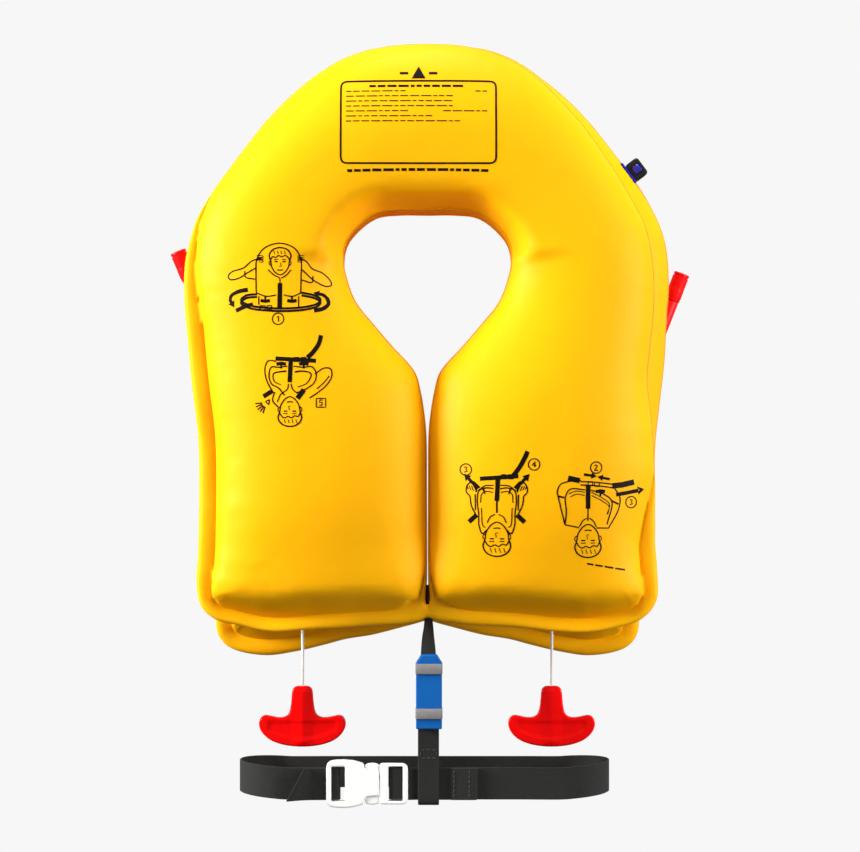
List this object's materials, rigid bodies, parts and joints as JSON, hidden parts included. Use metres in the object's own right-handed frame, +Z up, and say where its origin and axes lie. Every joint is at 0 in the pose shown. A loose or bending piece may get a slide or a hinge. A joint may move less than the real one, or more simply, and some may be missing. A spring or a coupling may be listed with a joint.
{
  "type": "inflatable life vest",
  "caption": "Yellow twin-cell inflatable life vest, inflated, with neck opening, oral tubes, manual inflators, pull handles, light, battery and buckled belt.",
  "frame": {"origin": "middle of the neck opening, midway between the front and rear cells", "axes": "+X to the right of someone facing the front of the vest, -Y towards that viewer, +Z up"},
  "size_m": [0.4222, 0.1796, 0.6108],
  "materials": {
    "vest_fabric": "urethane-coated nylon, low sheen",
    "webbing": "dark woven webbing",
    "lanyard_cord": "thin braided cord",
    "red_plastic": "glossy moulded red",
    "buckle_plastic": "moulded acetal, satin",
    "blue_plastic": "moulded blue",
    "blue_lens": "clear blue window",
    "black_plastic": "moulded black",
    "grey_band": "grey elastic band",
    "battery_plates": "plate stack in a moulded frame",
    "rubber_flange": "moulded rubber",
    "tube_flange": "moulded polyurethane",
    "steel": "bright steel",
    "nickel": "nickel plated"
  },
  "bodies": {
    "vest": {"front_cell_front_panel": "vest_fabric", "front_cell_back_panel": "vest_fabric", "rear_cell_front_panel": "vest_fabric", "rear_cell_back_panel": "vest_fabric", "strap_anchor_tab": "webbing", "light_base_plate": "blue_plastic", "light_housing": "black_plastic", "light_lens": "blue_lens", "inflator_body_left": "black_plastic", "inflator_stem_left": "rubber_flange", "lever_pivot_pin_left": "steel", "piercing_spring_left": "steel", "co2_cylinder_left": "steel", "inflator_cap_nut_left": "nickel", "oral_tube_flange_left": "tube_flange", "inflator_body_right": "black_plastic", "inflator_stem_right": "rubber_flange", "lever_pivot_pin_right": "steel", "piercing_spring_right": "steel", "co2_cylinder_right": "steel", "inflator_cap_nut_right": "nickel", "oral_tube_flange_right": "tube_flange"},
    "strap": {"centre_strap": "webbing", "battery_case": "blue_plastic", "battery_cell": "battery_plates", "battery_band_upper": "grey_band", "battery_band_lower": "grey_band"},
    "belt_right_half": {"belt_right": "webbing", "belt_sewn_end": "webbing", "buckle_plug": "buckle_plastic"},
    "belt_left_half": {"belt_left": "webbing", "buckle_socket": "buckle_plastic"},
    "buckle_arm_upper": {"buckle_arm_upper": "buckle_plastic"},
    "buckle_arm_lower": {"buckle_arm_lower": "buckle_plastic"},
    "lever_left": {"inflator_lever_left": "black_plastic"},
    "piercing_pin_left": {"piercing_pin_left": "steel"},
    "lanyard_left": {"lanyard_left": "lanyard_cord"},
    "jerk_handle_left": {"jerk_handle_left": "red_plastic"},
    "oral_tube_left": {"oral_tube_left": "red_plastic", "mouthpiece_left": "red_plastic", "valve_spring_left": "steel"},
    "valve_poppet_left": {"valve_poppet_left": "red_plastic"},
    "lever_right": {"inflator_lever_right": "black_plastic"},
    "piercing_pin_right": {"piercing_pin_right": "steel"},
    "lanyard_right": {"lanyard_right": "lanyard_cord"},
    "jerk_handle_right": {"jerk_handle_right": "red_plastic"},
    "oral_tube_right": {"oral_tube_right": "red_plastic", "mouthpiece_right": "red_plastic", "valve_spring_right": "steel"},
    "valve_poppet_right": {"valve_poppet_right": "red_plastic"}
  },
  "joints": [
    {"name": "lever_pull_left", "type": "hinge", "parent": "vest", "child": "lever_left", "pos_m": [-0.125, -0.0095, -0.256], "axis": [0, 1, 0], "range_deg": [0, 48]},
    {"name": "piercing_pin_slide_left", "type": "slide", "parent": "vest", "child": "piercing_pin_left", "axis": [1, 0, 0], "range_m": [0, 0.004], "deforming": ["piercing_spring_left"]},
    {"name": "lanyard_hang_left", "type": "hinge", "parent": "lever_left", "child": "lanyard_left", "pos_m": [-0.0996, -0.0095, -0.2675], "axis": [0, 1, 0], "range_deg": [-48.5, 0]},
    {"name": "handle_swing_left", "type": "hinge", "parent": "lanyard_left", "child": "jerk_handle_left", "pos_m": [-0.0996, -0.0095, -0.316], "axis": [0, 1, 0], "range_deg": [-25, 25]},
    {"name": "oral_tube_flex_left", "type": "hinge", "parent": "vest", "child": "oral_tube_left", "pos_m": [-0.1585, 0, -0.0641], "axis": [0, -1, 0], "range_deg": [0, 15], "stiffness_Nm_per_rad": 0.6},
    {"name": "valve_press_left", "type": "slide", "parent": "oral_tube_left", "child": "valve_poppet_left", "axis": [0.3987, 0, -0.9171], "range_m": [0, 0.003], "stiffness_N_per_m": 300, "deforming": ["valve_spring_left"]},
    {"name": "lever_pull_right", "type": "hinge", "parent": "vest", "child": "lever_right", "pos_m": [0.1242, -0.0095, -0.256], "axis": [0, -1, 0], "range_deg": [0, 48]},
    {"name": "piercing_pin_slide_right", "type": "slide", "parent": "vest", "child": "piercing_pin_right", "axis": [-1, 0, 0], "range_m": [0, 0.004], "deforming": ["piercing_spring_right"]},
    {"name": "lanyard_hang_right", "type": "hinge", "parent": "lever_right", "child": "lanyard_right", "pos_m": [0.0988, -0.0095, -0.2675], "axis": [0, -1, 0], "range_deg": [-48.5, 0]},
    {"name": "handle_swing_right", "type": "hinge", "parent": "lanyard_right", "child": "jerk_handle_right", "pos_m": [0.0988, -0.0095, -0.316], "axis": [0, 1, 0], "range_deg": [-25, 25]},
    {"name": "oral_tube_flex_right", "type": "hinge", "parent": "vest", "child": "oral_tube_right", "pos_m": [0.1735, 0.084, -0.0785], "axis": [0, 1, 0], "range_deg": [0, 15], "stiffness_Nm_per_rad": 0.6},
    {"name": "valve_press_right", "type": "slide", "parent": "oral_tube_right", "child": "valve_poppet_right", "axis": [-0.3665, 0, -0.9304], "range_m": [0, 0.003], "stiffness_N_per_m": 300, "deforming": ["valve_spring_right"]},
    {"name": "belt_swing", "type": "hinge", "parent": "vest", "child": "strap", "pos_m": [0.0008, -0.0345, -0.262], "axis": [1, 0, 0], "range_deg": [-25, 25]},
    {"name": "belt_slide", "type": "slide", "parent": "strap", "child": "belt_right_half", "axis": [1, 0, 0], "range_m": [-0.008, 0.003]},
    {"name": "buckle_release", "type": "slide", "parent": "belt_right_half", "child": "belt_left_half", "axis": [-1, 0, 0], "range_m": [0, 0.03]},
    {"name": "buckle_arm_upper_squeeze", "type": "hinge", "parent": "belt_right_half", "child": "buckle_arm_upper", "pos_m": [-0.038, -0.039, -0.3795], "axis": [0, -1, 0], "range_deg": [0, 5], "stiffness_Nm_per_rad": 0.5},
    {"name": "buckle_arm_lower_squeeze", "type": "hinge", "parent": "belt_right_half", "child": "buckle_arm_lower", "pos_m": [-0.038, -0.039, -0.4005], "axis": [0, 1, 0], "range_deg": [0, 5], "stiffness_Nm_per_rad": 0.5}
  ],
  "couplings": [
    {"joint": "piercing_pin_slide_left", "follows": "lever_pull_left", "m_per_rad": 0.0046},
    {"joint": "lanyard_hang_left", "follows": "lever_pull_left", "ratio": -1},
    {"joint": "piercing_pin_slide_right", "follows": "lever_pull_right", "m_per_rad": 0.0046},
    {"joint": "lanyard_hang_right", "follows": "lever_pull_right", "ratio": -1}
  ]
}
